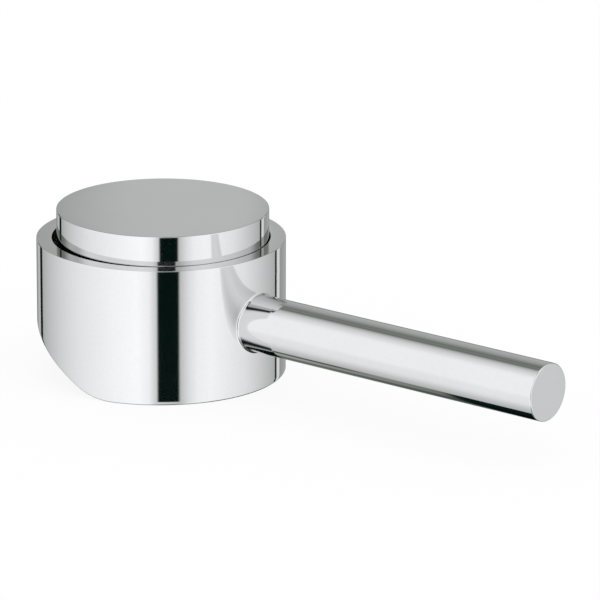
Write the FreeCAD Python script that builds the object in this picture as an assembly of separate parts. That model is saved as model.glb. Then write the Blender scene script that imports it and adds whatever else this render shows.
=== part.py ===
# Pin-lever handle for a single-lever mixer tap, in millimetres.
# The origin is on the body's axis in the plane of its lower rim, +X runs along the lever, +Z is up.
import FreeCAD, Part
import math
import os

from FreeCAD import Vector

# Cap
CAP_DIAMETER = 44.3
CAP_PROUD = 6.25
CAP_TOP_THICKNESS = 2.0
CAP_SKIRT_WALL = 3.0
CAP_EDGE = 0.2
CAP_INNER_CORNER = 1.2
# The cap lies on the lever's side of its play, this far off the body's axis.
CAP_OFFSET = 0.47

# Body ring round the cap and the skirt below it
CAP_GAP = 0.63
RING_WALL = 3.22
SKIRT_WALL = 3.0
BODY_HEIGHT = 28.75
RECESS_DEPTH = 8.25
RING_EDGE = 0.15
RIM_EDGE = 0.3
CAST_CORNER = 1.2

# Deck, boss and ribs under the cap
DECK_THICKNESS = 3.5
BOSS_LENGTH = 10.0
BOSS_WALL = 2.7
BOSS_DRAFT = 5.0
RIB_COUNT = 4
RIB_THICKNESS = 2.0
RIB_DEPTH = 5.0

# Square socket for the stem, with the web that the screw clamps
SOCKET_SIDE = 8.2
SOCKET_CORNER_RADIUS = 0.6
SOCKET_LEAD_IN = 0.6
CLAMP_WEB = 2.5

# Relief of the underside opposite the lever: a slope that meets the rim plane ahead of the axis
RELIEF_ANGLE = 25.5
RELIEF_START = 3.05
RELIEF_BLEND_RADIUS = 19.0

# Lever
LEVER_DIAMETER = 12.0
LEVER_REACH = 99.8
LEVER_HEIGHT = 14.8
LEVER_ROOT_RADIUS = 0.5
LEVER_END_CHAMFER = 0.3

# Rubber ring, squeezed between the cap's groove and the ring's bore
GROOVE_DEPTH = 1.3
GROOVE_ABOVE_SEAT = 0.8
O_RING_WIDTH = 2.3
O_RING_EDGE = 0.6
O_RING_SIDE_CLEARANCE = 0.15

# Socket-head screw
SCREW_DIAMETER = 5.0
SCREW_LENGTH = 8.0
SCREW_TIP_CHAMFER = 0.6
SCREW_HEAD_DIAMETER = 8.5
SCREW_HEAD_HEIGHT = 5.0
SCREW_HEAD_CHAMFER = 0.4
SCREW_KEY_WIDTH = 4.0
SCREW_KEY_DEPTH = 2.5
SCREW_HOLE_CLEARANCE = 0.25

# Places that follow from the sizes above
Z_AXIS = Vector(0, 0, 1)
CAP_RADIUS = CAP_DIAMETER / 2
RECESS_RADIUS = CAP_RADIUS + CAP_GAP
BODY_RADIUS = RECESS_RADIUS + RING_WALL
CAVITY_RADIUS = BODY_RADIUS - SKIRT_WALL
DECK_TOP = BODY_HEIGHT - RECESS_DEPTH
DECK_BOTTOM = DECK_TOP - DECK_THICKNESS
BOSS_TIP = DECK_BOTTOM - BOSS_LENGTH
BOSS_TIP_RADIUS = SOCKET_SIDE / math.sqrt(2) + BOSS_WALL
BOSS_ROOT_RADIUS = BOSS_TIP_RADIUS + BOSS_LENGTH * math.tan(math.radians(BOSS_DRAFT))
SOCKET_END = DECK_TOP - CLAMP_WEB
CAP_TOP = BODY_HEIGHT + CAP_PROUD
CAP_CENTRE = Vector(CAP_OFFSET, 0, 0)
GROOVE_RADIUS = CAP_RADIUS - GROOVE_DEPTH
GROOVE_BOTTOM = DECK_TOP + GROOVE_ABOVE_SEAT
GROOVE_TOP = GROOVE_BOTTOM + O_RING_WIDTH + 2 * O_RING_SIDE_CLEARANCE
LEVER_RADIUS = LEVER_DIAMETER / 2
TOUCH = 1e-4

# Finishes of a section's corner
ROUND = "round"
CHAMFER = "chamfer"


def corner_curve(before, here, after, finish, size):
    """Start, end and curve of one corner of a section, cut straight or rounded."""
    back = (before - here).normalize()
    ahead = (after - here).normalize()
    half_angle = back.getAngle(ahead) / 2
    setback = size / math.tan(half_angle) if finish == ROUND else size
    start = here + back * setback
    end = here + ahead * setback
    if finish == CHAMFER:
        return start, end, Part.LineSegment(start, end)
    inward = (back + ahead).normalize()
    middle = here + inward * (size / math.sin(half_angle) - size)
    return start, end, Part.Arc(start, middle, end)


def section_face(corners):
    """Face in the XZ plane through (x, z) corners, some with a finish and its size."""
    points = [Vector(x, 0, z) for x, z, *_ in corners]
    spans = []
    for index, (here, (_, _, *finish)) in enumerate(zip(points, corners)):
        before = points[index - 1]
        after = points[(index + 1) % len(points)]
        spans.append(corner_curve(before, here, after, *finish) if finish else (here, here, None))
    edges = []
    for index, (start, end, curve) in enumerate(spans):
        edges.append(Part.LineSegment(spans[index - 1][1], start).toShape())
        if curve:
            edges.append(curve.toShape())
    return Part.Face(Part.Wire(edges))


def turned(corners):
    """Solid of revolution about the Z axis from its half section."""
    return section_face(corners).revolve(Vector(), Z_AXIS, 360)


def casting_ring():
    """Ring wall, deck and drafted boss, as one turned section."""
    return turned([
        (0, BOSS_TIP),
        (BOSS_TIP_RADIUS, BOSS_TIP, CHAMFER, RIM_EDGE),
        (BOSS_ROOT_RADIUS, DECK_BOTTOM, CHAMFER, CAST_CORNER),
        (CAVITY_RADIUS, DECK_BOTTOM, CHAMFER, CAST_CORNER),
        (CAVITY_RADIUS, 0),
        (BODY_RADIUS, 0),
        (BODY_RADIUS, BODY_HEIGHT, ROUND, RING_EDGE),
        (RECESS_RADIUS, BODY_HEIGHT, CHAMFER, RING_EDGE),
        (RECESS_RADIUS, DECK_TOP),
        (0, DECK_TOP),
    ])


def rib(turn):
    """Rib under the deck that ties the boss to the skirt, at a turn from the lever."""
    inner = BOSS_TIP_RADIUS - BOSS_WALL / 2
    outer = CAVITY_RADIUS + SKIRT_WALL / 2
    blank = Part.makeBox(
        outer - inner,
        RIB_THICKNESS,
        RIB_DEPTH + DECK_THICKNESS / 2,
        Vector(inner, -RIB_THICKNESS / 2, DECK_BOTTOM - RIB_DEPTH),
    )
    blank.rotate(Vector(), Z_AXIS, turn)
    return blank


def lever():
    """Round lever from the middle of the wall to its chamfered end."""
    section = section_face([
        (0, LEVER_HEIGHT),
        (LEVER_REACH, LEVER_HEIGHT),
        (LEVER_REACH, LEVER_HEIGHT + LEVER_RADIUS, CHAMFER, LEVER_END_CHAMFER),
        (0, LEVER_HEIGHT + LEVER_RADIUS),
    ])
    rod = section.revolve(Vector(0, 0, LEVER_HEIGHT), Vector(1, 0, 0), 360)
    hollow = Part.makeCylinder(
        BODY_RADIUS - min(RING_WALL, SKIRT_WALL) / 2,
        2 * LEVER_DIAMETER,
        Vector(0, 0, LEVER_HEIGHT - LEVER_DIAMETER),
    )
    return rod.cut(hollow)


def relief():
    """Blank below the sloped rear of the underside, with the long blend into the flat rim."""
    slope = math.tan(math.radians(RELIEF_ANGLE))
    rear = 2 * BODY_RADIUS
    section = section_face([
        (rear, 0),
        (RELIEF_START, 0, ROUND, RELIEF_BLEND_RADIUS),
        (-rear, (rear + RELIEF_START) * slope),
        (-rear, -BODY_RADIUS),
        (rear, -BODY_RADIUS),
    ])
    section.translate(Vector(0, -rear, 0))
    return section.extrude(Vector(0, 2 * rear, 0))


def stem_socket():
    """Square hole for the stem with rounded corners."""
    depth = SOCKET_END - BOSS_TIP
    corner = Vector(-SOCKET_SIDE / 2, -SOCKET_SIDE / 2, BOSS_TIP)
    hole = Part.makeBox(SOCKET_SIDE, SOCKET_SIDE, depth, corner)
    uprights = [edge for edge in hole.Edges if edge.BoundBox.ZLength > depth / 2]
    return hole.makeFillet(SOCKET_CORNER_RADIUS, uprights)


def edge_points(edge):
    """A few points along an edge."""
    return edge.discretize(5)


def lies_at_radius(edge, radius):
    """Whether an edge runs round the body's axis at a radius."""
    return all(abs(math.hypot(p.x, p.y) - radius) < TOUCH for p in edge_points(edge))


def is_lever_root(edge):
    """Whether an edge is the line where the lever meets the body's wall."""
    on_lever = all(
        abs(math.hypot(p.y, p.z - LEVER_HEIGHT) - LEVER_RADIUS) < TOUCH for p in edge_points(edge)
    )
    return on_lever and lies_at_radius(edge, BODY_RADIUS)


def is_rim_edge(edge):
    """Whether an edge runs round the foot of the skirt, on its flat front or its relieved rear."""
    span = edge.BoundBox
    upright = span.XLength < TOUCH and span.YLength < TOUCH
    round_wall = lies_at_radius(edge, BODY_RADIUS) or lies_at_radius(edge, CAVITY_RADIUS)
    return round_wall and span.ZMin < BOSS_TIP and not upright


def is_socket_mouth(edge):
    """Whether an edge bounds the socket on the boss's tip."""
    level = all(abs(p.z - BOSS_TIP) < TOUCH for p in edge_points(edge))
    inside = all(max(abs(p.x), abs(p.y)) < SOCKET_SIDE / 2 + TOUCH for p in edge_points(edge))
    return level and inside


def handle_body():
    """The casting: ring, deck, boss, ribs and lever in one piece."""
    below = relief()
    body = casting_ring().cut(below)
    body = body.makeChamfer(RIM_EDGE, [edge for edge in body.Edges if is_rim_edge(edge)])
    ribs = [rib(index * 360 / RIB_COUNT).cut(below) for index in range(RIB_COUNT)]
    body = body.fuse(ribs + [lever()]).removeSplitter()
    body = body.makeFillet(LEVER_ROOT_RADIUS, [edge for edge in body.Edges if is_lever_root(edge)])
    screw_hole = Part.makeCylinder(
        SCREW_DIAMETER / 2 + SCREW_HOLE_CLEARANCE,
        DECK_TOP - BOSS_TIP,
        Vector(0, 0, BOSS_TIP),
    )
    body = body.cut(stem_socket().fuse(screw_hole))
    return body.makeChamfer(SOCKET_LEAD_IN, [edge for edge in body.Edges if is_socket_mouth(edge)])


def top_cap():
    """Cup-shaped cap that seats on the deck, with the groove for its rubber ring."""
    bore = CAP_RADIUS - CAP_SKIRT_WALL
    cap = turned([
        (0, CAP_TOP),
        (CAP_RADIUS, CAP_TOP, CHAMFER, CAP_EDGE),
        (CAP_RADIUS, GROOVE_TOP),
        (GROOVE_RADIUS, GROOVE_TOP),
        (GROOVE_RADIUS, GROOVE_BOTTOM),
        (CAP_RADIUS, GROOVE_BOTTOM),
        (CAP_RADIUS, DECK_TOP, CHAMFER, CAP_EDGE),
        (bore, DECK_TOP, CHAMFER, CAP_EDGE),
        (bore, CAP_TOP - CAP_TOP_THICKNESS, CHAMFER, CAP_INNER_CORNER),
        (0, CAP_TOP - CAP_TOP_THICKNESS),
    ])
    cap.translate(CAP_CENTRE)
    return cap


def cap_o_ring():
    """Rubber ring as it lies squeezed: round the cap's groove inside, in the ring's bore outside."""
    base = Vector(0, 0, GROOVE_BOTTOM + O_RING_SIDE_CLEARANCE)
    outside = Part.makeCylinder(RECESS_RADIUS, O_RING_WIDTH, base)
    inside = Part.makeCylinder(GROOVE_RADIUS, O_RING_WIDTH, base + CAP_CENTRE)
    ring = outside.cut(inside)
    level_edges = [edge for edge in ring.Edges if edge.BoundBox.ZLength < TOUCH]
    return ring.makeChamfer(O_RING_EDGE, level_edges)


def fixing_screw():
    """Socket-head screw that clamps the deck to the stem."""
    head_top = DECK_TOP + SCREW_HEAD_HEIGHT
    thread_radius = SCREW_DIAMETER / 2
    tip = DECK_TOP - SCREW_LENGTH
    screw = turned([
        (0, tip),
        (thread_radius, tip, CHAMFER, SCREW_TIP_CHAMFER),
        (thread_radius, DECK_TOP),
        (SCREW_HEAD_DIAMETER / 2, DECK_TOP),
        (SCREW_HEAD_DIAMETER / 2, head_top, CHAMFER, SCREW_HEAD_CHAMFER),
        (0, head_top),
    ])
    key_radius = SCREW_KEY_WIDTH / math.sqrt(3)
    floor = head_top - SCREW_KEY_DEPTH
    turns = [math.radians(60 * index) for index in range(7)]
    hexagon = [Vector(key_radius * math.cos(a), key_radius * math.sin(a), floor) for a in turns]
    key = Part.Face(Part.makePolygon(hexagon)).extrude(Vector(0, 0, SCREW_KEY_DEPTH))
    return screw.cut(key)


PIECES = {
    "handle_body": handle_body,
    "top_cap": top_cap,
    "cap_o_ring": cap_o_ring,
    "fixing_screw": fixing_screw,
}

os.makedirs("parts", exist_ok=True)
for name, make in PIECES.items():
    piece = make()
    piece.exportStep(f"parts/{name}.step")
    print(name, "valid" if piece.isValid() else "INVALID", f"{piece.Volume:.1f} mm3")
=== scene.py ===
"""Looks of a chromed pin-lever handle for a mixer tap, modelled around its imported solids."""
import logging
import math
from abc import ABC, abstractmethod
from collections.abc import Callable, Iterable, Sequence
from dataclasses import dataclass
from enum import Enum
from typing import Any, ClassVar, Protocol

import bmesh
import bpy
from bmesh.types import BMEdge, BMesh, BMVert
from bpy.types import Material, Node, NodeSocket, NodeTree, Object
from mathutils import Matrix, Vector


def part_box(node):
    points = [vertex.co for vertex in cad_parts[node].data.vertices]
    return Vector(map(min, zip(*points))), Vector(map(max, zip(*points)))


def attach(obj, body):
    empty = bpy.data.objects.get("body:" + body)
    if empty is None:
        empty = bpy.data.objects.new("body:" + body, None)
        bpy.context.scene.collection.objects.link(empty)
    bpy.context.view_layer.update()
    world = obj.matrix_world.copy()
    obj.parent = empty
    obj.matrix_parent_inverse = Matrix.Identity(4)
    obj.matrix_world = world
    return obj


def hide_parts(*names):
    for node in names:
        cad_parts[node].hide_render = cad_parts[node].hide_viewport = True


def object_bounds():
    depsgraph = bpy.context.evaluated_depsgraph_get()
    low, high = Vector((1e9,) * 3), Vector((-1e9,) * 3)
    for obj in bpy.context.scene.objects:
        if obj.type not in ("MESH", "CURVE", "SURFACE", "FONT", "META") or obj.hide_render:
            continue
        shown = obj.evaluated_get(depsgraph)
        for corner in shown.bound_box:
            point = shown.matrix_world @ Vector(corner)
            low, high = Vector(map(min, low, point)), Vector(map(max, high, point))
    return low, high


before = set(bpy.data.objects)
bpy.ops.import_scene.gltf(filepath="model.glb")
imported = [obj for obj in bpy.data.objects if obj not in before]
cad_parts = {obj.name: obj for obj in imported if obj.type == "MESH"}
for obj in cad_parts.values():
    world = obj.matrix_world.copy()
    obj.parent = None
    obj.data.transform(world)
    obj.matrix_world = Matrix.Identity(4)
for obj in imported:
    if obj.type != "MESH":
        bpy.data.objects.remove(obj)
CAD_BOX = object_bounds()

LOG = logging.getLogger("tap_handle")
MM = 0.001
BODY = "root"
UP = Vector((0.0, 0.0, 1.0))
NOISE_MEAN = 0.5

Colour = tuple[float, float, float, float]
Stops = tuple[tuple[float, float], ...]
WHITE: Colour = (1.0, 1.0, 1.0, 1.0)


class CadNode(Enum):
    """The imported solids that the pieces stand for."""

    CASTING = "handle_body"
    CAP = "top_cap"
    SEAL = "cap_o_ring"
    SCREW = "fixing_screw"


class Slot(Enum):
    """The record's material slots."""

    CASTING = "chrome_casting"
    CAP = "chrome_cap"
    SEAL = "black_rubber"
    SCREW = "screw_steel"


class Signal:
    """A number on its way through a node tree: arithmetic on it adds Math nodes."""

    def __init__(self, graph: "Graph", socket: NodeSocket) -> None:
        """Wrap an output socket of a graph."""
        self.graph = graph
        self.socket = socket

    def math(self, operation: str, *values: "Signal | float") -> "Signal":
        """Add a Math node with its inputs in order."""
        return self.graph.signal(
            self.graph.add("ShaderNodeMath", {"operation": operation}, dict(enumerate(values)))
        )

    def __add__(self, other: "Signal | float") -> "Signal":
        """Sum."""
        return self.math("ADD", self, other)

    def __radd__(self, other: float) -> "Signal":
        """Sum, with the number first."""
        return self.math("ADD", other, self)

    def __sub__(self, other: "Signal | float") -> "Signal":
        """Difference."""
        return self.math("SUBTRACT", self, other)

    def __rsub__(self, other: float) -> "Signal":
        """Difference, with the number first."""
        return self.math("SUBTRACT", other, self)

    def __mul__(self, other: "Signal | float") -> "Signal":
        """Product."""
        return self.math("MULTIPLY", self, other)

    def __truediv__(self, other: "Signal | float") -> "Signal":
        """Quotient."""
        return self.math("DIVIDE", self, other)

    def __pow__(self, other: "Signal | float") -> "Signal":
        """Power."""
        return self.math("POWER", self, other)

    def __neg__(self) -> "Signal":
        """Opposite."""
        return self.math("MULTIPLY", self, -1.0)

    def __abs__(self) -> "Signal":
        """Size without its sign."""
        return self.math("ABSOLUTE", self)

    def step(self, low: float, high: float) -> "Signal":
        """Rise smoothly from 0 to 1.

        Args:
            low: where the rise starts.
            high: where it ends.

        Returns:
            The share of the rise.
        """
        sockets = {"Value": self, "From Min": low, "From Max": high}
        node = self.graph.add("ShaderNodeMapRange", {"interpolation_type": "SMOOTHSTEP"}, sockets)
        return self.graph.signal(node)

    def past(self, place: float, soft: float) -> "Signal":
        """Rise smoothly from 0 to 1 across a place, over a width."""
        return self.step(place - soft / 2, place + soft / 2)

    def ramp(self, low: float, high: float, stops: Stops) -> "Signal":
        """Look the number up between stops.

        Args:
            low: the number at the start of the ramp.
            high: the number at its end.
            stops: pairs of a number and its result, in rising order.

        Returns:
            The result.
        """
        span = high - low
        node = self.graph.add("ShaderNodeValToRGB", sockets={0: (self - low) / span})
        elements = node.color_ramp.elements
        while len(elements) < len(stops):
            elements.new(1.0)
        for element, (place, result) in zip(elements, stops):
            element.position = (place - low) / span
            element.color = (result, result, result, 1.0)
        return self.graph.signal(node)

    def towards(self, other: "Signal | float", share: "Signal | float") -> "Signal":
        """Blend this number into another, which shows alone at a share of 1."""
        return self + (other - self) * share


class Graph:
    """A node tree that is written out in order."""

    def __init__(self, tree: NodeTree) -> None:
        """Empty a tree and take it over."""
        tree.nodes.clear()
        self.tree = tree

    def add(
        self,
        kind: str,
        settings: dict[str, Any] | None = None,
        sockets: dict[str | int, Any] | None = None,
    ) -> Node:
        """Add a node.

        Args:
            kind: the node's type.
            settings: its properties.
            sockets: values or links for its inputs, by name or number.

        Returns:
            The new node.
        """
        node = self.tree.nodes.new(kind)
        for name, value in (settings or {}).items():
            setattr(node, name, value)
        for key, value in (sockets or {}).items():
            value = value.socket if isinstance(value, Signal) else value
            if isinstance(value, NodeSocket):
                self.tree.links.new(value, node.inputs[key])
            else:
                node.inputs[key].default_value = value
        return node

    def signal(self, node: Node, output: str | int = 0) -> Signal:
        """Take one output of a node as a number."""
        return Signal(self, node.outputs[output])

    def split(self, vector: NodeSocket) -> tuple[Signal, Signal, Signal]:
        """Take a vector apart into its three numbers."""
        parts = self.add("ShaderNodeSeparateXYZ", sockets={0: vector})
        return self.signal(parts, 0), self.signal(parts, 1), self.signal(parts, 2)

    def noise(self, vector: NodeSocket, grain: float, detail: float = 2.0) -> Signal:
        """Add a noise pattern from 0 to 1, with grains of a size in the vector's units."""
        sockets = {"Vector": vector, "Scale": 1.0 / grain, "Detail": detail}
        return self.signal(self.add("ShaderNodeTexNoise", sockets=sockets))

    def blend(self, share: Signal, first: Any, second: Any) -> NodeSocket:
        """Mix two colours, each a value or a socket, by the share of the second."""
        return self.add("ShaderNodeMix", {"data_type": "RGBA"}, {0: share, 6: first, 7: second}).outputs[2]

    def place(self) -> NodeSocket:
        """Take the place on the surface, in the object's own coordinates."""
        return self.add("ShaderNodeTexCoord").outputs["Object"]

    def lathe(self, reach: Signal, height: Signal, slip: Signal) -> NodeSocket:
        """Make coordinates in which a pattern runs round the Z axis, with a slip along it."""
        return self.add("ShaderNodeCombineXYZ", sockets={0: reach, 1: height, 2: slip}).outputs[0]

    def relief(self, height: Signal) -> NodeSocket:
        """Make the normal of a surface that is raised by a height."""
        sockets = {"Strength": 1.0, "Distance": 1.0, "Height": height}
        return self.add("ShaderNodeBump", sockets=sockets).outputs[0]

    def surface(self, kind: str, sockets: dict[str | int, Any]) -> None:
        """Add the material's last shader and its output."""
        shader = self.add(kind, sockets=sockets)
        self.add("ShaderNodeOutputMaterial", sockets={"Surface": shader.outputs[0]})


class Finish(Protocol):
    """What a piece is dressed in."""

    def material(self) -> Material:
        """Make the finish."""


def new_material(name: str) -> tuple[Material, Graph]:
    """Start a material.

    Args:
        name: the material's name.

    Returns:
        The material and its empty tree.
    """
    material = bpy.data.materials.new(name)
    material.use_nodes = True
    return material, Graph(material.node_tree)


def shaded(colour: Colour, share: float) -> Colour:
    """Darken a colour to a share of itself."""
    red, green, blue, alpha = colour
    return red * share, green * share, blue * share, alpha


@dataclass(frozen=True)
class Chrome:
    """Bright chrome plate, dull on the inside of the casting that nobody polishes.

    Attributes:
        name: the material's name.
        hollow_radius: radius of the unpolished inside.
        hollow_top: height where it ends.
        centre: where its axis stands.
        hollow_edge: width over which it ends.
        plate: colour of the polished plate.
        plate_shade: how dark the plate gets between its clouds and grains.
        raw: colour of the plate on the cast skin.
        raw_shade: how dark the skin gets between its grains.
        polish: roughness of the polished plate.
        cast: roughness of the cast skin.
        *_size, *_height: grain of the patterns in it and how far they stand up.
        *_share, *_dulling: how much they colour the plate and change its roughness.
        line_slip: how far the polishing lines run off their circles.
    """

    name: str
    hollow_radius: float
    hollow_top: float
    centre: Vector
    hollow_edge: float = 0.1 * MM
    plate: Colour = (0.713, 0.715, 0.716, 1.0)
    plate_shade: float = 0.90
    raw: Colour = (0.50, 0.51, 0.51, 1.0)
    raw_shade: float = 0.7
    polish: float = 0.05
    cast: float = 0.40
    cloud_size: float = 14 * MM
    ripple_size: float = 22 * MM
    line_size: float = 0.35 * MM
    grain_size: float = 0.7 * MM
    ripple_height: float = 0.012 * MM
    grain_height: float = 0.05 * MM
    cloud_share: float = 0.4
    grain_share: float = 0.6
    cloud_dulling: float = 0.03
    line_dulling: float = 0.02
    grain_dulling: float = 0.2
    line_slip: float = 0.02

    def material(self) -> Material:
        """Make the finish.

        Returns:
            The material.
        """
        material, graph = new_material(self.name)
        place = graph.place()
        along, across, height = graph.split(place)
        reach = ((along - self.centre.x) ** 2.0 + (across - self.centre.y) ** 2.0) ** 0.5
        outside = reach.step(self.hollow_radius, self.hollow_radius + self.hollow_edge)
        above = height.step(self.hollow_top, self.hollow_top + self.hollow_edge)
        inside = (1 - outside) * (1 - above)
        cloud = graph.noise(place, self.cloud_size, detail=3.0)
        grain = graph.noise(place, self.grain_size, detail=4.0)
        ripple = graph.noise(place, self.ripple_size)
        lines = graph.noise(graph.lathe(reach, height, along * self.line_slip), self.line_size)
        clouds = cloud * self.cloud_share + grain * self.grain_share
        polished = graph.blend(clouds, shaded(self.plate, self.plate_shade), self.plate)
        skin = graph.blend(grain, shaded(self.raw, self.raw_shade), self.raw)
        shine = self.polish + (cloud - NOISE_MEAN) * self.cloud_dulling
        shine = shine + (lines - NOISE_MEAN) * self.line_dulling
        dullness = self.cast + (grain - NOISE_MEAN) * self.grain_dulling
        relief = (ripple * self.ripple_height).towards(grain * self.grain_height, inside)
        graph.surface("ShaderNodeBsdfPrincipled", {
            "Base Color": graph.blend(inside, polished, skin),
            "Metallic": 1.0,
            "Roughness": shine.towards(dullness, inside),
            "Normal": graph.relief(relief),
        })
        return material


@dataclass(frozen=True)
class Rubber:
    """Moulded black rubber with a fine bloom.

    Attributes:
        name: the material's name.
        deep: colour of clean rubber.
        bloom: colour where it has bloomed.
        dullness: roughness of clean rubber.
        bloom_dulling: how much rougher the bloom is.
        *_size, *_height: grain of the patterns in it and how far they stand up.
    """

    name: str
    deep: Colour = (0.018, 0.018, 0.019, 1.0)
    bloom: Colour = (0.045, 0.045, 0.047, 1.0)
    dullness: float = 0.5
    bloom_dulling: float = 0.25
    bloom_size: float = 3 * MM
    grain_size: float = 0.25 * MM
    grain_height: float = 0.01 * MM

    def material(self) -> Material:
        """Make the finish.

        Returns:
            The material.
        """
        material, graph = new_material(self.name)
        place = graph.place()
        bloom = graph.noise(place, self.bloom_size, detail=3.0)
        grain = graph.noise(place, self.grain_size)
        graph.surface("ShaderNodeBsdfPrincipled", {
            "Base Color": graph.blend(bloom, self.deep, self.bloom),
            "Roughness": self.dullness + bloom * self.bloom_dulling,
            "Normal": graph.relief(grain * self.grain_height),
        })
        return material


@dataclass(frozen=True)
class Stainless:
    """Plain stainless steel with turning marks round the Z axis.

    Attributes:
        name: the material's name.
        bright: colour of the ridges of the marks.
        dark: colour between them.
        dullness: least roughness.
        *_size, *_height: grain of the marks and stains and how far they stand up.
        *_dulling: how much they change the roughness.
        mark_slip: how far the marks run off their circles.
    """

    name: str
    bright: Colour = (0.60, 0.59, 0.57, 1.0)
    dark: Colour = (0.44, 0.43, 0.42, 1.0)
    dullness: float = 0.22
    mark_dulling: float = 0.12
    stain_dulling: float = 0.08
    mark_size: float = 0.12 * MM
    stain_size: float = 1.5 * MM
    mark_height: float = 0.004 * MM
    mark_slip: float = 0.05

    def material(self) -> Material:
        """Make the finish.

        Returns:
            The material.
        """
        material, graph = new_material(self.name)
        place = graph.place()
        along, across, height = graph.split(place)
        reach = (along ** 2.0 + across ** 2.0) ** 0.5
        marks = graph.noise(graph.lathe(reach, height, along * self.mark_slip), self.mark_size)
        stain = graph.noise(place, self.stain_size, detail=3.0)
        graph.surface("ShaderNodeBsdfPrincipled", {
            "Base Color": graph.blend(stain, self.dark, self.bright),
            "Metallic": 1.0,
            "Roughness": self.dullness + marks * self.mark_dulling + stain * self.stain_dulling,
            "Normal": graph.relief(marks * self.mark_height),
        })
        return material


@dataclass(frozen=True)
class Corner:
    """One corner of a turned section.

    Attributes:
        radius: distance from the axis.
        height: height above the rim.
        round: size of the round on it.
        spans: equal spans on the way to the next corner.
    """

    radius: float
    height: float
    round: float = 0.0
    spans: int = 1


class Shape:
    """A mesh while it is modelled."""

    ROUND_SEGMENTS: ClassVar[int] = 5
    WELD: ClassVar[float] = 1e-7
    CREASE: ClassVar[float] = math.radians(35)

    def __init__(self) -> None:
        """Start empty, with a place to note a vertex's turn about the lever."""
        self.mesh: BMesh = bmesh.new()
        self.turn = self.mesh.verts.layers.float.new("turn")

    @classmethod
    def turned(cls, corners: Sequence[Corner], steps: int, closed: bool = True) -> "Shape":
        """Turn a section all the way round the Z axis.

        Args:
            corners: the section's corners in order.
            steps: number of steps in the turn.
            closed: whether the last corner joins the first.

        Returns:
            The turned shape.
        """
        shape = cls()
        shape.outline(corners, closed)
        shape.spin(steps, use_merge=True)
        shape.weld()
        return shape

    @property
    def rims(self) -> list[BMEdge]:
        """Edges of the openings in the shape."""
        return [edge for edge in self.mesh.edges if edge.is_boundary]

    def outline(self, corners: Sequence[Corner], closed: bool) -> None:
        """Draw a section in the XZ plane, with its corners rounded.

        Args:
            corners: the section's corners in order.
            closed: whether the last corner joins the first.
        """
        rounds: dict[float, list[BMVert]] = {}
        chain: list[BMVert] = []
        following = [*corners[1:], corners[0]]
        for corner, after in zip(corners, following):
            here = Vector((corner.radius, 0.0, corner.height))
            there = Vector((after.radius, 0.0, after.height))
            spans = corner.spans if closed or corner is not corners[-1] else 1
            stops = [self.mesh.verts.new(here.lerp(there, index / spans)) for index in range(spans)]
            chain.extend(stops)
            if corner.round:
                rounds.setdefault(corner.round, []).append(stops[0])
        links = zip(chain, [*chain[1:], chain[0]] if closed else chain[1:])
        for first, second in links:
            self.mesh.edges.new((first, second))
        for size, verts in rounds.items():
            self.bevel(verts, size, self.ROUND_SEGMENTS, "VERTICES")

    def bevel(self, geom: Iterable[BMVert | BMEdge], size: float, segments: int, affect: str) -> None:
        """Round corners or edges.

        Args:
            geom: what is rounded.
            size: how far the round reaches.
            segments: number of flats in it.
            affect: VERTICES or EDGES.
        """
        bmesh.ops.bevel(
            self.mesh, geom=list(geom), offset=size, offset_type="OFFSET", segments=segments,
            profile=0.5, affect=affect, material=-1,
        )

    def spin(self, steps: int, angle: float = math.tau, rise: float = 0.0, **options: bool) -> None:
        """Turn all that is drawn about the Z axis.

        Args:
            steps: number of steps in the turn.
            angle: the whole turn.
            rise: how far each step climbs.
            options: use_merge for a full turn, use_duplicate for copies.
        """
        bmesh.ops.spin(
            self.mesh,
            geom=[*self.mesh.verts, *self.mesh.edges, *self.mesh.faces],
            cent=(0.0, 0.0, 0.0), axis=UP, dvec=UP * rise, angle=angle, steps=steps, **options,
        )

    def move(self, offset: Vector) -> None:
        """Shift all that is drawn."""
        bmesh.ops.translate(self.mesh, vec=offset, verts=self.mesh.verts[:])

    def fit(self, size: Vector, middle: Vector) -> None:
        """Stretch a drawn shape of size 1 and move it to its place."""
        bmesh.ops.scale(self.mesh, vec=size, verts=self.mesh.verts[:])
        self.move(middle)

    def weld(self) -> None:
        """Merge doubled vertices and turn the faces outwards."""
        bmesh.ops.remove_doubles(self.mesh, verts=self.mesh.verts[:], dist=self.WELD)
        bmesh.ops.recalc_face_normals(self.mesh, faces=self.mesh.faces[:])

    def grow(self, loop: list[BMEdge], place: Callable[[float], Vector]) -> list[BMEdge]:
        """Extrude an open loop by one row.

        Args:
            loop: the loop's edges.
            place: where a vertex goes, from its turn.

        Returns:
            The edges of the new open loop.
        """
        made = bmesh.ops.extrude_edge_only(self.mesh, edges=loop)["geom"]
        for vert in made:
            if isinstance(vert, BMVert):
                vert.co = place(vert[self.turn])
        return [edge for edge in made if isinstance(edge, BMEdge) and edge.is_boundary]

    def object(self, name: str) -> Object:
        """Make the finished mesh an object.

        Args:
            name: the object's name.

        Returns:
            The object, smooth except at its creases.
        """
        self.weld()
        data = bpy.data.meshes.new(name)
        self.mesh.to_mesh(data)
        self.mesh.free()
        made = bpy.data.objects.new(name, data)
        bpy.context.scene.collection.objects.link(made)
        smooth(made)
        return made


def smooth(piece: Object) -> None:
    """Shade a piece smoothly up to its creases."""
    piece.data.shade_smooth()
    piece.data.set_sharp_from_angle(angle=Shape.CREASE)


def unite(first: Object, second: Object) -> None:
    """Fuse two closed pieces.

    Args:
        first: the piece that takes up the other.
        second: the piece that is taken up and removed.
    """
    fuse = first.modifiers.new("fuse", "BOOLEAN")
    fuse.operation = "UNION"
    fuse.solver = "EXACT"
    fuse.object = second
    graph = bpy.context.evaluated_depsgraph_get()
    fused = bpy.data.meshes.new_from_object(first.evaluated_get(graph))
    first.modifiers.clear()
    first.data = fused
    bpy.data.objects.remove(second)


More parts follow.
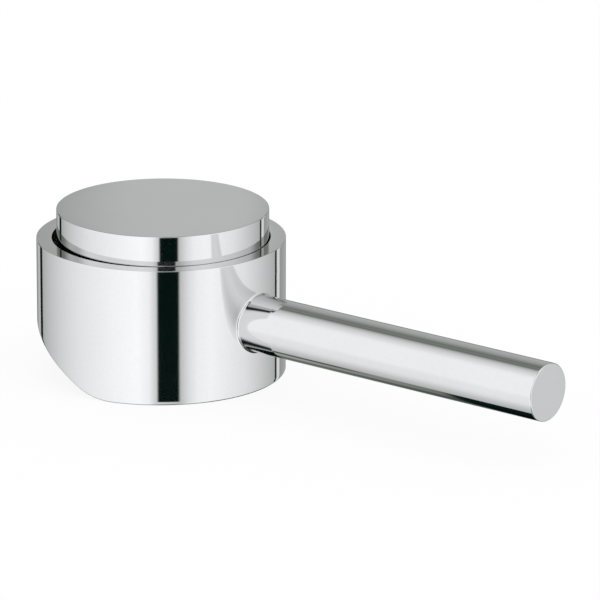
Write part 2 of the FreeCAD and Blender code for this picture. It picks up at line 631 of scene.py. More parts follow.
@dataclass
class Piece(ABC):
    """A sub-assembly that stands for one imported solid.

    Attributes:
        finish: what it is dressed in.
    """

    finish: Finish

    NAME: ClassVar[str]
    NODE: ClassVar[CadNode]
    SLOT: ClassVar[Slot]
    FACE_WEIGHT: ClassVar[int] = 100

    @abstractmethod
    def build(self) -> Object:
        """Model the piece."""

    def dress(self) -> Object:
        """Model the piece, dress it and put it on its body.

        Returns:
            The finished piece.
        """
        piece = self.build()
        piece.data.materials.clear()
        piece.data.materials.append(self.finish.material())
        normals = piece.modifiers.new("even_normals", "WEIGHTED_NORMAL")
        normals.keep_sharp = True
        normals.weight = self.FACE_WEIGHT
        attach(piece, BODY)
        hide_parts(self.NODE.value)
        return piece


@dataclass
class HandleCasting(Piece):
    """Ring, deck, boss, ribs and lever, cast in one piece.

    Attributes:
        radius: outside of the ring.
        height: top of the ring.
        reach: end of the lever.
        deck_top: seat of the cap.
        recess_radius: inside of the ring above the deck.

    The other fields size its walls and edges, the boss and its socket, the ribs, the relief at the
    rear and the lever, and count the rows and steps of its mesh. Angles are in degrees.
    """

    radius: float
    height: float
    reach: float
    deck_top: float
    recess_radius: float
    skirt_wall: float = 3.0 * MM
    ring_edge: float = 0.15 * MM
    rim_edge: float = 0.3 * MM
    cast_corner: float = 1.2 * MM
    deck: float = 3.5 * MM
    boss_length: float = 10.0 * MM
    boss_wall: float = 2.7 * MM
    boss_draft: float = 5.0
    socket_side: float = 8.2 * MM
    socket_corner: float = 0.6 * MM
    lead_in: float = 0.6 * MM
    clamp_web: float = 2.5 * MM
    screw_hole: float = 2.75 * MM
    rib_count: int = 4
    rib_thickness: float = 2.0 * MM
    rib_depth: float = 5.0 * MM
    rib_edge: float = 0.4 * MM
    rib_edge_segments: int = 3
    rib_cuts: int = 20
    relief_angle: float = 25.5
    relief_start: float = 3.05 * MM
    relief_blend: float = 19.0 * MM
    relief_keep: float = 1.0 * MM
    lever_radius: float = 6.0 * MM
    lever_height: float = 14.8 * MM
    root_round: float = 0.5 * MM
    end_round: float = 0.3 * MM
    window_rise: float = 9.0 * MM
    window_rows: int = 32
    window_columns: int = 15
    apron_rows: int = 8
    root_rows: int = 6
    lever_rows: int = 16
    steps: int = 256

    NAME = "polished_casting"
    NODE = CadNode.CASTING
    SLOT = Slot.CASTING

    @property
    def cavity_radius(self) -> float:
        """Inside of the skirt."""
        return self.radius - self.skirt_wall

    @property
    def deck_bottom(self) -> float:
        """Underside of the deck."""
        return self.deck_top - self.deck

    @property
    def boss_tip(self) -> float:
        """Lower end of the boss."""
        return self.deck_bottom - self.boss_length

    @property
    def boss_tip_radius(self) -> float:
        """Radius of the boss at its tip."""
        return self.socket_side / math.sqrt(2) + self.boss_wall

    @property
    def window_half_width(self) -> float:
        """Half the window's width, along the wall."""
        return self.radius * self.window_columns * math.tau / self.steps

    def section(self) -> list[Corner]:
        """Half section of the ring, its deck and its boss.

        Returns:
            The corners, from the outside of the rim up the wall and back round the inside.
        """
        web = self.deck_top - self.clamp_web
        socket = self.socket_side / 2
        draft = math.tan(math.radians(self.boss_draft))
        boss_root_radius = self.boss_tip_radius + self.boss_length * draft
        low = self.lever_height - self.window_rise
        high = self.lever_height + self.window_rise
        return [
            Corner(self.radius, 0.0, self.rim_edge, spans=6),
            Corner(self.radius, low, spans=self.window_rows),
            Corner(self.radius, high, spans=4),
            Corner(self.radius, self.height, self.ring_edge),
            Corner(self.recess_radius, self.height, self.ring_edge),
            Corner(self.recess_radius, self.deck_top),
            Corner(self.screw_hole, self.deck_top),
            Corner(self.screw_hole, web),
            Corner(socket, web, spans=4),
            Corner(socket, self.boss_tip + self.lead_in),
            Corner(socket + self.lead_in, self.boss_tip),
            Corner(self.boss_tip_radius, self.boss_tip, self.rim_edge, spans=4),
            Corner(boss_root_radius, self.deck_bottom, self.cast_corner, spans=4),
            Corner(self.cavity_radius, self.deck_bottom, self.cast_corner, spans=8),
            Corner(self.cavity_radius, 0.0, self.rim_edge),
        ]

    def relief_height(self, along: float) -> float:
        """Height of the relieved rim.

        Args:
            along: place along the lever's direction.

        Returns:
            The rim's height there, 0 on its flat front.
        """
        angle = math.radians(self.relief_angle)
        tangent = self.relief_blend * math.tan(angle / 2)
        flat_end = self.relief_start + tangent
        slope_start = self.relief_start - tangent * math.cos(angle)
        if along >= flat_end:
            return 0.0
        if along <= slope_start:
            return (self.relief_start - along) * math.tan(angle)
        return self.relief_blend - math.sqrt(self.relief_blend ** 2 - (flat_end - along) ** 2)

    def raise_rear(self, shape: Shape) -> None:
        """Lift the rear of the skirt to the relief, and spread the lift up the walls.

        Args:
            shape: the spun ring.
        """
        middle = self.radius - self.skirt_wall / 2
        inner_top = self.deck_bottom - self.cast_corner
        outer_top = self.lever_height + self.window_rise
        for vert in shape.mesh.verts:
            reach = vert.co.xy.length
            if reach < self.cavity_radius - Shape.WELD:
                continue
            top = outer_top if reach > middle else inner_top
            share = (top - vert.co.z) / (top - self.relief_keep)
            vert.co.z += self.relief_height(vert.co.x) * min(max(share, 0.0), 1.0)

    def square_socket(self, shape: Shape) -> None:
        """Draw the round rows of the socket out to a square with rounded corners.

        Args:
            shape: the spun ring.
        """
        flat = self.socket_side / 2
        straight = flat - self.socket_corner
        for vert in shape.mesh.verts:
            reach = vert.co.xy.length
            in_socket = flat - Shape.WELD < reach < flat + self.lead_in + Shape.WELD
            if not in_socket or vert.co.z > self.deck_top - self.clamp_web + Shape.WELD:
                continue
            across, along = sorted((abs(vert.co.x) / reach, abs(vert.co.y) / reach))
            edge = flat / along
            if across * edge > straight:
                lean = straight * (across + along)
                edge = lean + math.sqrt(lean ** 2 - 2 * straight ** 2 + self.socket_corner ** 2)
            vert.co.xy *= edge / flat

    def open_window(self, shape: Shape) -> list[BMEdge]:
        """Open the window in the wall that the lever grows from.

        Args:
            shape: the spun ring.

        Returns:
            The window's edges, whose vertices hold their turn about the lever.
        """
        mesh = shape.mesh
        window = []
        for face in mesh.faces:
            centre = face.calc_center_median()
            arc = self.radius * math.atan2(centre.y, centre.x)
            on_wall = centre.xy.length > self.radius - self.rim_edge / 2
            in_width = abs(arc) < self.window_half_width
            if on_wall and in_width and abs(centre.z - self.lever_height) < self.window_rise:
                window.append(face)
        bmesh.ops.delete(mesh, geom=window, context="FACES")
        loop = shape.rims
        for vert in {vert for edge in loop for vert in edge.verts}:
            arc = self.radius * math.atan2(vert.co.y, vert.co.x)
            vert[shape.turn] = math.atan2(arc, vert.co.z - self.lever_height)
        return loop

    def ball_centre(self, turn: float) -> Vector:
        """Centre of the ball that rolls round the lever's root.

        Args:
            turn: turn about the lever, from the top.

        Returns:
            The centre.
        """
        out = self.lever_radius + self.root_round
        across = out * math.sin(turn)
        along = math.sqrt((self.radius + self.root_round) ** 2 - across ** 2)
        return Vector((along, across, self.lever_height + out * math.cos(turn)))

    def apron_point(self, turn: float, share: float) -> Vector:
        """Point on the wall between the window's edge and the lever's root.

        Args:
            turn: turn about the lever, from the top.
            share: 0 at the window, 1 at the root.

        Returns:
            The point.
        """
        side = self.window_half_width / max(abs(math.sin(turn)), Shape.WELD)
        rise = self.window_rise / max(abs(math.cos(turn)), Shape.WELD)
        window = Vector((math.sin(turn), math.cos(turn))) * min(side, rise)
        centre = self.ball_centre(turn)
        root = Vector((self.radius * math.atan2(centre.y, centre.x), centre.z - self.lever_height))
        arc, height = window.lerp(root, share)
        angle = arc / self.radius
        along, across = self.radius * math.cos(angle), self.radius * math.sin(angle)
        return Vector((along, across, self.lever_height + height))

    def root_point(self, turn: float, share: float) -> Vector:
        """Point on the round between the wall and the lever.

        Args:
            turn: turn about the lever, from the top.
            share: 0 at the wall, 1 at the lever.

        Returns:
            The point.
        """
        centre = self.ball_centre(turn)
        to_wall = -Vector((centre.x, centre.y, 0.0)).normalized()
        to_lever = -Vector((0.0, math.sin(turn), math.cos(turn)))
        return centre + to_wall.slerp(to_lever, share) * self.root_round

    def lever_point(self, turn: float, share: float) -> Vector:
        """Point on the lever.

        Args:
            turn: turn about the lever, from the top.
            share: 0 at its root, 1 at its end.

        Returns:
            The point.
        """
        along = self.ball_centre(turn).x * (1 - share) + self.reach * share
        across = self.lever_radius * math.sin(turn)
        return Vector((along, across, self.lever_height + self.lever_radius * math.cos(turn)))

    def grow_lever(self, shape: Shape) -> None:
        """Grow the lever out of the wall, with its root round and its rounded end.

        Args:
            shape: the spun ring.
        """
        loop = self.open_window(shape)
        stretches = (
            (self.apron_rows, self.apron_point),
            (self.root_rows, self.root_point),
            (self.lever_rows, self.lever_point),
        )
        for rows, point in stretches:
            for row in range(1, rows + 1):
                loop = shape.grow(loop, lambda turn: point(turn, row / rows))
        bmesh.ops.contextual_create(shape.mesh, geom=loop)
        shape.bevel(loop, self.end_round, Shape.ROUND_SEGMENTS, "EDGES")

    def rib_runs(self, shape: Shape) -> list[BMEdge]:
        """Find the edges along a rib, which are longer than it is thick."""
        ends = [(edge, edge.verts[0].co.x - edge.verts[1].co.x) for edge in shape.mesh.edges]
        return [edge for edge, run in ends if abs(run) > self.rib_thickness]

    def ribs(self) -> Object:
        """Model the ribs under the deck, with their ends in the boss and the skirt.

        Returns:
            The ribs as closed solids.
        """
        shape = Shape()
        mesh = shape.mesh
        inner = self.boss_tip_radius - self.boss_wall / 2
        outer = self.radius - self.skirt_wall / 2
        top = self.deck_bottom + self.deck / 2
        bottom = self.deck_bottom - self.rib_depth
        size = Vector((outer - inner, self.rib_thickness, top - bottom))
        bmesh.ops.create_cube(mesh, size=1.0)
        shape.fit(size, Vector(((outer + inner) / 2, 0.0, (top + bottom) / 2)))
        edges = [e for e in self.rib_runs(shape) if all(v.co.z < self.deck_bottom for v in e.verts)]
        shape.bevel(edges, self.rib_edge, self.rib_edge_segments, "EDGES")
        bmesh.ops.subdivide_edges(mesh, edges=self.rib_runs(shape), cuts=self.rib_cuts, use_grid_fill=True)
        last = self.rib_count - 1
        shape.spin(last, math.tau * last / self.rib_count, use_duplicate=True)
        for vert in mesh.verts:
            vert.co.z = max(vert.co.z, self.relief_height(vert.co.x))
        return shape.object("ribs")

    def build(self) -> Object:
        """Model the casting.

        Returns:
            The casting as one closed mesh.
        """
        shape = Shape.turned(self.section(), self.steps)
        self.square_socket(shape)
        self.raise_rear(shape)
        self.grow_lever(shape)
        casting = shape.object(self.NAME)
        unite(casting, self.ribs())
        smooth(casting)
        return casting


@dataclass
class TopCap(Piece):
    """Cup-shaped cap with the groove for its rubber ring.

    Attributes:
        radius: outside of the cap.
        seat: height of its lower edge.
        top: height of its upper face.
        centre: where its axis stands.
        groove_low: lower side of the groove.
        groove_high: upper side of the groove.
        groove_radius: bottom of the groove.
    """

    radius: float
    seat: float
    top: float
    centre: Vector
    groove_low: float
    groove_high: float
    groove_radius: float
    top_thickness: float = 2.0 * MM
    skirt_wall: float = 3.0 * MM
    edge: float = 0.2 * MM
    inner_corner: float = 1.2 * MM
    steps: int = 256

    NAME = "polished_cap"
    NODE = CadNode.CAP
    SLOT = Slot.CAP

    def build(self) -> Object:
        """Model the cap.

        Returns:
            The cap as one closed mesh.
        """
        bore = self.radius - self.skirt_wall
        ceiling = self.top - self.top_thickness
        corners = [
            Corner(0.0, self.top, spans=6),
            Corner(self.radius, self.top, self.edge, spans=4),
            Corner(self.radius, self.groove_high),
            Corner(self.groove_radius, self.groove_high),
            Corner(self.groove_radius, self.groove_low),
            Corner(self.radius, self.groove_low),
            Corner(self.radius, self.seat, self.edge),
            Corner(bore, self.seat, self.edge, spans=4),
            Corner(bore, ceiling, self.inner_corner, spans=4),
            Corner(0.0, ceiling),
        ]
        shape = Shape.turned(corners, self.steps, closed=False)
        shape.move(self.centre)
        return shape.object(self.NAME)


@dataclass
class RubberRing(Piece):
    """Rubber ring, squeezed between the cap's groove and the ring of the casting.

    Attributes:
        inner_radius: radius where it sits in the groove.
        outer_radius: radius where it bears on the casting.
        low: its lower side.
        high: its upper side.
        inner_centre: where the groove's axis stands.
    """

    inner_radius: float
    outer_radius: float
    low: float
    high: float
    inner_centre: Vector
    edge: float = 0.75 * MM
    steps: int = 192

    NAME = "moulded_ring"
    NODE = CadNode.SEAL
    SLOT = Slot.SEAL

    def build(self) -> Object:
        """Model the ring.

        Returns:
            The ring as one closed mesh.
        """
        corners = [
            Corner(self.inner_radius, self.low, self.edge),
            Corner(self.outer_radius, self.low, self.edge),
            Corner(self.outer_radius, self.high, self.edge),
            Corner(self.inner_radius, self.high, self.edge),
        ]
        shape = Shape.turned(corners, self.steps)
        for vert in shape.mesh.verts:
            inward = (self.outer_radius - vert.co.xy.length) / (self.outer_radius - self.inner_radius)
            vert.co += self.inner_centre * inward
        return shape.object(self.NAME)


@dataclass
class SocketScrew(Piece):
    """Socket-head screw with a knurled head and a cut thread.

    Attributes:
        tip: its lower end.
        head_low: underside of its head.
        head_high: top of its head.
        head_radius: outside of its head.
        crest_start, crest_end: where the thread's crest lies, as shares of the pitch.

    The other fields size the thread, the head and its key, and count the steps of the mesh.
    """

    tip: float
    head_low: float
    head_high: float
    head_radius: float
    thread_radius: float = 2.5 * MM
    thread_pitch: float = 0.8 * MM
    thread_depth: float = 0.43 * MM
    crest_start: float = 0.44
    crest_end: float = 0.56
    thread_steps: int = 36
    tip_chamfer: float = 0.6 * MM
    head_edge: float = 0.4 * MM
    key_width: float = 4.0 * MM
    key_depth: float = 2.5 * MM
    key_cone: float = 0.6 * MM
    knurl_depth: float = 0.12 * MM
    knurl_margin: float = 0.7 * MM
    steps: int = 96

    NAME = "socket_screw"
    NODE = CadNode.SCREW
    SLOT = Slot.SCREW

    def head(self) -> Shape:
        """Model the head with its hexagon and its knurl.

        Returns:
            The head, open at the neck.
        """
        floor = self.head_high - self.key_depth
        key = self.key_width / 2
        low_knurl = self.head_low + self.knurl_margin
        high_knurl = self.head_high - self.knurl_margin
        corners = [
            Corner(0.0, floor - self.key_cone),
            Corner(key, floor),
            Corner(key, self.head_high),
            Corner(self.head_radius, self.head_high, self.head_edge),
            Corner(self.head_radius, high_knurl, spans=4),
            Corner(self.head_radius, low_knurl),
            Corner(self.head_radius, self.head_low),
            Corner(self.thread_radius + self.head_edge, self.head_low),
        ]
        shape = Shape.turned(corners, self.steps, closed=False)
        for vert in shape.mesh.verts:
            reach = vert.co.xy.length
            angle = math.atan2(vert.co.y, vert.co.x)
            if abs(reach - key) < Shape.WELD:
                sixth = math.tau / 6
                vert.co.xy /= math.cos((angle + sixth / 2) % sixth - sixth / 2)
            on_knurl = abs(reach - self.head_radius) < Shape.WELD and low_knurl < vert.co.z < high_knurl
            if on_knurl and round(angle / math.tau * self.steps) % 2:
                vert.co.xy *= 1 - self.knurl_depth / self.head_radius
        return shape

    def thread(self) -> Shape:
        """Model the thread below the head.

        Returns:
            The thread, open at the neck and at the tip.
        """
        shape = Shape()
        mesh = shape.mesh
        root = self.thread_radius - self.thread_depth
        rise = self.thread_pitch
        start = self.tip - 2 * rise
        turns = math.ceil((self.head_low - start) / rise) + 1
        corners = [
            Corner(root, start),
            Corner(self.thread_radius, start + self.crest_start * rise),
            Corner(self.thread_radius, start + self.crest_end * rise),
            Corner(root, start + rise),
        ]
        shape.outline(corners, closed=False)
        shape.spin(self.thread_steps * turns, math.tau * turns, rise / self.thread_steps)
        bmesh.ops.remove_doubles(mesh, verts=mesh.verts[:], dist=Shape.WELD)
        for height, above in ((self.tip, False), (self.head_low, True)):
            bmesh.ops.bisect_plane(
                mesh,
                geom=[*mesh.verts, *mesh.edges, *mesh.faces],
                dist=Shape.WELD,
                plane_co=(0.0, 0.0, height),
                plane_no=UP,
                clear_outer=above,
                clear_inner=not above,
            )
        for vert in mesh.verts:
            allowed = self.thread_radius - self.tip_chamfer + vert.co.z - self.tip
            reach = vert.co.xy.length
            if reach > allowed:
                vert.co.xy *= allowed / reach
        return shape

    def build(self) -> Object:
        """Model the screw.

        Returns:
            The screw as one closed mesh.
        """
        shape = self.thread()
        tip = [edge for edge in shape.rims if edge.verts[0].co.z < self.tip + self.thread_pitch / 2]
        bmesh.ops.contextual_create(shape.mesh, geom=tip)
        head = self.head()
        made = bpy.data.meshes.new("screw_head")
        head.mesh.to_mesh(made)
        head.mesh.free()
        shape.mesh.from_mesh(made)
        bpy.data.meshes.remove(made)
        bmesh.ops.bridge_loops(shape.mesh, edges=shape.rims)
        return shape.object(self.NAME)


@dataclass(frozen=True)
class Card:
    """A card, flag or gap of the studio as the object sees it, in degrees.

    Attributes:
        turn: azimuth of its middle, from the camera to the right.
        half_width: half its width.
        low: elevation of its lower edge.
        high: elevation of its upper edge.
        level: its brightness.
        soft: width over which its upright edges fade.
        fade: height over which its lower and upper edges fade.
    """

    turn: float
    half_width: float
    low: float
    high: float
    level: float
    soft: float = 2.0
    fade: float = 4.0

    def over(self, level: Signal, azimuth: Signal, elevation: Signal) -> Signal:
        """Hold the card in front of what lies behind it.

        Args:
            level: the brightness without the card.
            azimuth: where a ray goes, in degrees.
            elevation: how high it goes, in degrees.

        Returns:
            The brightness with the card.
        """
        offset = azimuth - self.turn
        aside = abs(offset.math("WRAP", offset, 180.0, -180.0))
        beside = aside.past(self.half_width, self.soft)
        above = elevation.past(self.low, self.fade)
        below = 1 - elevation.past(self.high, self.fade)
        return level.towards(self.level, (1 - beside) * above * below)


def strip(
    turn: float, half_width: float, wall_level: float, top_level: float, soft: float = Card.soft
) -> tuple[Card, Card]:
    """Hang a narrow card in two heights.

    Args:
        turn: azimuth of its middle, in degrees.
        half_width: half its width, in degrees.
        wall_level: brightness of its lower part, which upright walls show.
        top_level: brightness of its upper part, which flat tops show.
        soft: width over which its upright edges fade.

    Returns:
        The lower and the upper part.
    """
    low, middle, high = -40.0, 10.0, 24.0
    return (
        Card(turn, half_width, low, middle, wall_level, soft),
        Card(turn, half_width, middle, high, top_level, soft),
    )


@dataclass(frozen=True)
class Viewpoint:
    """Where the camera stands.

    Attributes:
        azimuth: turn from the -Y side to the right, in degrees.
        elevation: height over the horizon, in degrees.
        roll: turn about the line of sight, in degrees.
        distance: from the point that it aims at.
        aim_right: how far the aim lies right of the origin.
        aim_up: how far the aim lies above the origin in the picture.
        lens: focal length in millimetres.
        sensor: width of the sensor in millimetres.
    """

    azimuth: float = 38.34
    elevation: float = 17.06
    roll: float = 0.18
    distance: float = 1163.5 * MM
    aim_right: float = 29.005 * MM
    aim_up: float = 14.083 * MM
    lens: float = 332.7
    sensor: float = 36.0

    def set_up(self) -> None:
        """Make the camera and hand it to the scene."""
        data = bpy.data.cameras.new("camera")
        data.lens = self.lens
        data.sensor_width = self.sensor
        turn = Matrix.Rotation(math.radians(self.azimuth), 3, "Z")
        tilt = Matrix.Rotation(math.radians(90.0 - self.elevation), 3, "X")
        roll = Matrix.Rotation(math.radians(self.roll), 3, "Z")
        stand = turn @ tilt @ roll
        aim = stand @ Vector((self.aim_right, self.aim_up, self.distance))
        camera = bpy.data.objects.new("camera", data)
        camera.matrix_world = Matrix.Translation(aim) @ stand.to_4x4()
        bpy.context.scene.collection.objects.link(camera)
        bpy.context.scene.camera = camera


@dataclass(frozen=True)
class Studio:
    """White floor, even light, and the cards and flags that the polish shows.

    Attributes:
        view: where the camera stands; the cards are turned with it.
        gain: brightness of the lightest card, over a white page.
        horizon: brightness round the horizon, from azimuths in degrees.
        canopy: brightness overhead, from the share of a ray that points across the lever to the front.
        cards: what stands in front of these, in order.
        underlay: brightness of the card below the floor, from places along the lever.
        underlay_rows: share of that, from places across the lever.
        underlay_low, underlay_high: corners of that card.
        hem_*: depth of the dark hem at its front next to the body, and where the hem fades.
        canopy_low, canopy_high: elevations between which the canopy comes in.
        rear_start, rear_end: share of a ray along the lever where canopy and pit come in and are full.
        dusk_*: brightness far below, and the elevations between which it comes in.
        pit_*: brightness below at the back, its elevations, and its edge across the lever.
        cool, warm: how much red and blue the darks lose.
        red, blue, least_blue: gain of red, gain of blue and the least share of blue.
        floor_*: size of the white floor, its distance from the rim and its share of shadow.
    """

    view: Viewpoint = Viewpoint()
    gain: float = 1.4
    horizon: Stops = (
        (-180.0, 0.16), (-167.0, 0.17), (-158.0, 0.375), (-152.0, 0.45), (-143.0, 0.365),
        (-127.0, 0.505), (-106.0, 0.65), (-79.0, 0.79), (-44.0, 0.93), (-21.0, 0.995),
        (-10.0, 0.89), (-5.0, 0.66), (18.0, 0.50), (27.0, 0.75), (35.0, 0.885), (48.0, 0.93),
        (84.0, 0.765), (104.0, 0.61), (127.0, 0.44), (146.0, 0.285), (163.0, 0.33), (180.0, 0.16),
    )
    canopy: Stops = (
        (-0.60, 0.15), (-0.48, 0.143), (-0.40, 0.13), (-0.36, 0.136), (-0.30, 0.19), (-0.265, 0.193),
        (-0.21, 0.16), (-0.165, 0.165), (-0.12, 0.285), (-0.08, 0.39), (0.0, 0.52), (0.1, 0.625),
        (0.2, 0.70), (0.33, 0.78), (0.5, 0.85), (0.75, 0.905),
    )
    cards: tuple[Card, ...] = (
        # Greys for the flat tops and for the ring's top beside the cap.
        Card(180.0, 33.0, 8.0, 40.0, 0.355, soft=14.0, fade=26.0),
        Card(164.8, 17.5, 6.0, 20.0, 0.447, soft=1.2, fade=5.0),
        Card(163.9, 16.5, 6.0, 20.0, 0.375, soft=0.5, fade=5.0),
        Card(143.0, 24.0, 11.0, 23.0, 0.20, soft=20.0),
        Card(-106.0, 26.0, 11.0, 23.0, 0.52, soft=36.0),
        Card(-148.0, 21.0, 11.0, 23.0, 0.19, soft=22.0),
        Card(-75.0, 20.0, -12.0, 50.0, 0.88, soft=24.0, fade=16.0),
        # The black flag in front, with greys below it for the lever's root.
        Card(45.0, 40.0, -90.0, -40.0, 0.45, soft=30.0, fade=6.0),
        Card(9.0, 18.0, -90.0, -40.0, 0.012, soft=24.0),
        Card(7.6, 10.1, -21.0, 9.0, 0.006, soft=3.0, fade=2.0),
        Card(5.25, 9.75, 15.3, 18.4, 0.004, soft=2.5, fade=0.3),
        # What the root shows from above.
        Card(26.0, 12.0, 44.0, 62.0, 0.58, soft=16.0),
        Card(6.5, 9.5, 42.0, 60.0, 0.03, soft=8.0),
        Card(28.0, 24.0, 57.0, 80.0, 0.05, soft=14.0),
        # Narrow strips for the edges of the walls.
        *strip(-145.8, 3.7, 0.006, 0.03, soft=1.5),
        *strip(134.35, 2.45, 0.01, 0.035, soft=1.5),
        *strip(139.8, 3.6, 0.63, 0.40),
    )
    underlay: Stops = (
        (-8.0 * MM, 0.33), (3.0 * MM, 0.28), (14.0 * MM, 0.235), (24.0 * MM, 0.205),
        (34.0 * MM, 0.16), (38.0 * MM, 0.02), (41.0 * MM, 0.008),
    )
    underlay_rows: Stops = (
        (-9.5 * MM, 1.0), (4.0 * MM, 1.0), (13.0 * MM, 0.97), (23.0 * MM, 0.40),
        (34.0 * MM, 0.35), (47.0 * MM, 0.40), (63.0 * MM, 0.62), (90.0 * MM, 0.95),
    )
    underlay_low: Vector = Vector((-45.0 * MM, -9.5 * MM, -50.0 * MM))
    underlay_high: Vector = Vector((80.0 * MM, 90.0 * MM, -50.0 * MM))
    hem_depth: float = 0.68
    hem_low: float = -2.0 * MM
    hem_high: float = 3.0 * MM
    hem_start: float = 4.0 * MM
    hem_end: float = 18.0 * MM
    canopy_low: float = 15.0
    canopy_high: float = 36.0
    rear_end: float = -0.45
    rear_start: float = -0.2
    dusk_level: float = 0.43
    dusk_low: float = -68.0
    dusk_high: float = -32.0
    pit_level: float = 0.008
    pit_low: float = -50.0
    pit_high: float = -24.0
    pit_edge: float = 0.06
    pit_soft: float = 0.06
    cool: float = 0.022
    red: float = 1.01
    warm: float = 0.036
    blue: float = 1.05
    least_blue: float = 0.90
    floor_radius: float = 1.5
    floor_segments: int = 96
    floor_drop: float = 0.05 * MM
    floor_shadow: float = 0.12

    def brightness(self, graph: Graph) -> Signal:
        """Work out what the polish shows.

        Args:
            graph: the world's nodes.

        Returns:
            The brightness in a ray's direction.
        """
        ray = graph.add("ShaderNodeTexCoord").outputs["Generated"]
        east, north, up = graph.split(ray)
        turn = math.radians(self.view.azimuth)
        right = east * math.cos(turn) + north * math.sin(turn)
        near = east * math.sin(turn) - north * math.cos(turn)
        degree = 180.0 / math.pi
        azimuth = right.math("ARCTAN2", right, near) * degree
        elevation = up.math("ARCSINE", up) * degree
        rear = 1 - east.step(self.rear_end, self.rear_start)
        level = azimuth.ramp(-180.0, 180.0, self.horizon)
        overhead = (-north).ramp(-1.0, 1.0, self.canopy)
        level = level.towards(overhead, rear * elevation.step(self.canopy_low, self.canopy_high))
        level = level.towards(self.dusk_level, 1 - elevation.step(self.dusk_low, self.dusk_high))
        for card in self.cards:
            level = card.over(level, azimuth, elevation)
        behind = north.past(-self.pit_edge, self.pit_soft)
        pit = rear * behind * (1 - elevation.step(self.pit_low, self.pit_high))
        return level.towards(self.pit_level, pit) * self.gain

    def tint(self, graph: Graph, level: Signal) -> NodeSocket:
        """Give a brightness its colour.

        Args:
            graph: the nodes that it is worked out in.
            level: the brightness.

        Returns:
            The colour, greener in the darks.
        """
        red = level * level / (level + self.cool) * self.red
        share = level / (level + self.warm) * self.blue
        blue = level * share.math("MAXIMUM", share, self.least_blue)
        return graph.add("ShaderNodeCombineColor", sockets={0: red, 1: level, 2: blue}).outputs[0]

    def world(self) -> None:
        """Light the object evenly, and show its polish the cards."""
        world = bpy.data.worlds.new("studio")
        world.use_nodes = True
        world.cycles.sampling_method = "NONE"
        bpy.context.scene.world = world
        graph = Graph(world.node_tree)
        tinted = self.tint(graph, self.brightness(graph))
        polish = graph.signal(graph.add("ShaderNodeLightPath"), "Is Glossy Ray")
        shown = graph.blend(polish, WHITE, tinted)
        light = graph.add("ShaderNodeBackground", sockets={"Color": shown, "Strength": 1.0})
        graph.add("ShaderNodeOutputWorld", sockets={"Surface": light.outputs[0]})

    def floor(self) -> None:
        """Lay the white floor, which shows a soft shadow and stays out of the polish."""
        shape = Shape()
        sides = self.floor_segments
        bmesh.ops.create_circle(shape.mesh, cap_ends=True, segments=sides, radius=self.floor_radius)
        shape.move(UP * (CAD_BOX[0].z - self.floor_drop))
        floor = shape.object("floor")
        material, graph = new_material("white_floor")
        glow = graph.add("ShaderNodeEmission", sockets={"Color": WHITE, "Strength": 1.0}).outputs[0]
        paper = graph.add("ShaderNodeBsdfDiffuse", sockets={"Color": WHITE}).outputs[0]
        graph.surface("ShaderNodeMixShader", {0: self.floor_shadow, 1: glow, 2: paper})
        floor.data.materials.append(material)
        floor.visible_glossy = False

    def card_below(self) -> None:
        """Hang the grey card below the floor that the underside of the lever shows."""
        shape = Shape()
        bmesh.ops.create_grid(shape.mesh, x_segments=1, y_segments=1, size=0.5)
        size = self.underlay_high - self.underlay_low
        shape.fit(size, (self.underlay_low + self.underlay_high) / 2)
        card = shape.object("card_below")
        material, graph = new_material("grey_card")
        along, across, _ = graph.split(graph.place())
        front = 1 - across.step(self.hem_low, self.hem_high)
        hem = front * (1 - along.step(self.hem_start, self.hem_end))
        rows = across.ramp(self.underlay_low.y, self.underlay_high.y, self.underlay_rows)
        level = along.ramp(self.underlay_low.x, self.underlay_high.x, self.underlay)
        level = level * rows * (1 - hem * self.hem_depth) * self.gain
        graph.surface("ShaderNodeEmission", {"Color": self.tint(graph, level), "Strength": 1.0})
        card.data.materials.append(material)
        card.visible_camera = False
        card.visible_diffuse = False
        card.visible_shadow = False

    def set_up(self) -> None:
        """Light the scene, lay the floor, hang the card and place the camera."""
        self.world()
        self.floor()
        self.card_below()
        self.view.set_up()
        bpy.context.scene.view_settings.view_transform = "Standard"


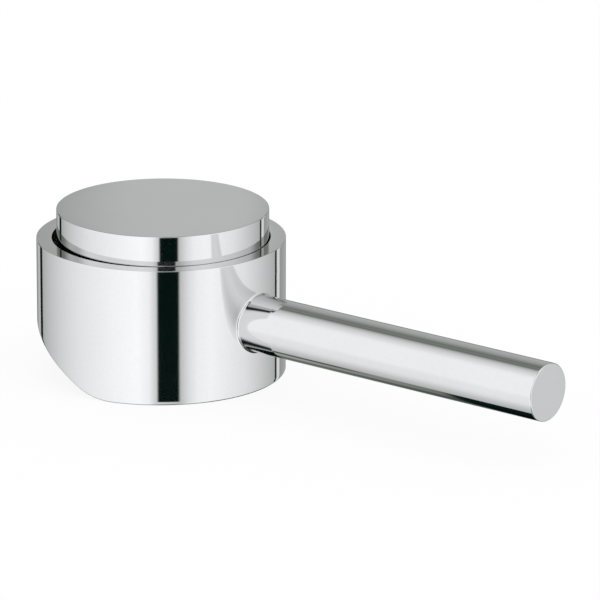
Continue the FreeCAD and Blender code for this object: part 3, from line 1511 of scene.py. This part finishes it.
def casting_from_frame() -> HandleCasting:
    """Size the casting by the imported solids.

    Returns:
        The casting, not yet built.
    """
    low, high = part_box(CadNode.CASTING.value)
    cap_low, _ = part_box(CadNode.CAP.value)
    _, seal_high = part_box(CadNode.SEAL.value)
    radius = min(high.y, -low.x, -low.y)
    finish = Chrome("chrome_on_casting", hollow_radius=23.1 * MM, hollow_top=18.3 * MM, centre=Vector())
    return HandleCasting(finish, radius, high.z, high.x, cap_low.z, seal_high.x)


def cap_from_frame() -> TopCap:
    """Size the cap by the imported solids.

    Returns:
        The cap, not yet built.
    """
    low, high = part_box(CadNode.CAP.value)
    seal_low, seal_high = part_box(CadNode.SEAL.value)
    centre = Vector(((low.x + high.x) / 2, (low.y + high.y) / 2, 0.0))
    radius = (high.x - low.x) / 2
    wall, ceiling = 2.9 * MM, 1.9 * MM
    finish = Chrome("chrome_on_cap", radius - wall, high.z - ceiling, centre)
    play, groove_depth = 0.15 * MM, 1.3 * MM
    groove = (seal_low.z - play, seal_high.z + play, radius - groove_depth)
    return TopCap(finish, radius, low.z, high.z, centre, *groove)


def ring_from_frame() -> RubberRing:
    """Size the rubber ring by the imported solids.

    Returns:
        The ring, not yet built.
    """
    low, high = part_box(CadNode.SEAL.value)
    cap = cap_from_frame()
    return RubberRing(Rubber("black_rubber"), cap.groove_radius, high.x, low.z, high.z, cap.centre)


def screw_from_frame() -> SocketScrew:
    """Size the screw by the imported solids.

    Returns:
        The screw, not yet built.
    """
    low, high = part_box(CadNode.SCREW.value)
    cap_low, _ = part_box(CadNode.CAP.value)
    return SocketScrew(Stainless("stainless_steel"), low.z, cap_low.z, high.z, high.x)


def main() -> None:
    """Build the pieces in order, log their face counts and light them."""
    logging.basicConfig(level=logging.INFO, format="%(name)s: %(message)s")
    pieces: list[Piece] = [casting_from_frame(), cap_from_frame(), ring_from_frame(), screw_from_frame()]
    for piece in pieces:
        made = piece.dress()
        LOG.info("%s stands for %s, %d faces", made.name, piece.NODE.value, len(made.data.polygons))
    Studio().set_up()


if __name__ == "__main__":
    main()
